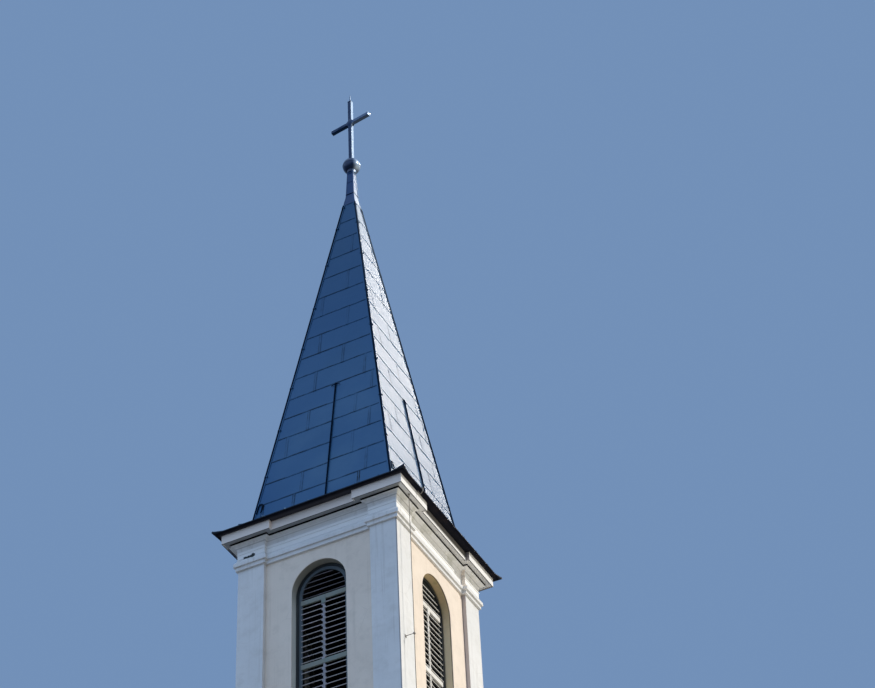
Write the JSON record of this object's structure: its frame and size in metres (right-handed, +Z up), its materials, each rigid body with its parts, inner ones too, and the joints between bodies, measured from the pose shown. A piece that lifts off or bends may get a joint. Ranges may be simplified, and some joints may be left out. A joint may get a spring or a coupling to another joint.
{
  "type": "church bell tower with a pyramidal spire",
  "caption": "Square rendered bell tower with corner pilasters, arched louvred windows and a cornice, under a tall sheet-metal spire with a ball and cross.",
  "frame": {"origin": "middle of the tower's footprint at ground level, on the underside of the ground floor", "axes": "+Z up, -Y towards the front with the door, +X to the right side"},
  "size_m": [5.148, 5.148, 33.34],
  "materials": {
    "trim_render": "smooth off-white lime render, matt",
    "field_render": "pale cream lime render, matt",
    "plinth_render": "grey cement render, matt",
    "floor_boards": "bare boards, worn",
    "shutter_paint": "weathered grey-green paint",
    "door_timber": "dark stained boards",
    "eave_timber": "dark brown paint",
    "spire_sheet": "weathered galvanised sheet, satin",
    "dark_metal": "dark weathered sheet strip",
    "cross_metal": "weathered sheet metal, satin"
  },
  "bodies": {
    "root": {"plinth": "plinth_render", "ground_floor": "floor_boards", "lower_pilaster_front_right": "trim_render", "lower_pilaster_back_right": "trim_render", "lower_pilaster_back_left": "trim_render", "lower_pilaster_front_left": "trim_render", "lower_wall_front": "field_render", "lower_wall_right": "field_render", "lower_wall_back": "field_render", "lower_wall_left": "field_render", "upper_floor": "floor_boards", "belfry_floor": "floor_boards", "string_course": "trim_render", "belfry_pilaster_front_right": "trim_render", "belfry_pilaster_back_right": "trim_render", "belfry_pilaster_back_left": "trim_render", "belfry_pilaster_front_left": "trim_render", "belfry_wall_front": "field_render", "belfry_wall_right": "field_render", "belfry_wall_back": "field_render", "belfry_wall_left": "field_render", "architrave": "trim_render", "frieze": "trim_render", "cornice": "trim_render", "eave_board": "eave_timber", "spire_skirt": "spire_sheet", "spire_slope_front": "spire_sheet", "spire_slope_right": "spire_sheet", "spire_slope_back": "spire_sheet", "spire_slope_left": "spire_sheet", "hip_capping_front_right": "dark_metal", "hip_capping_back_right": "dark_metal", "hip_capping_back_left": "dark_metal", "hip_capping_front_left": "dark_metal", "spire_seam_front": "dark_metal", "spire_seam_right": "dark_metal", "spire_seam_back": "dark_metal", "spire_seam_left": "dark_metal", "spire_neck": "spire_sheet", "ball": "cross_metal", "cross": "cross_metal", "belfry_louvre_front": "shutter_paint", "belfry_louvre_right": "shutter_paint", "belfry_louvre_back": "shutter_paint", "belfry_louvre_left": "shutter_paint", "lower_louvre_front": "shutter_paint", "lower_louvre_right": "shutter_paint", "lower_louvre_back": "shutter_paint", "lower_louvre_left": "shutter_paint", "door": "door_timber", "conductor_lower": "dark_metal", "conductor_belfry": "dark_metal"}
  },
  "joints": []
}
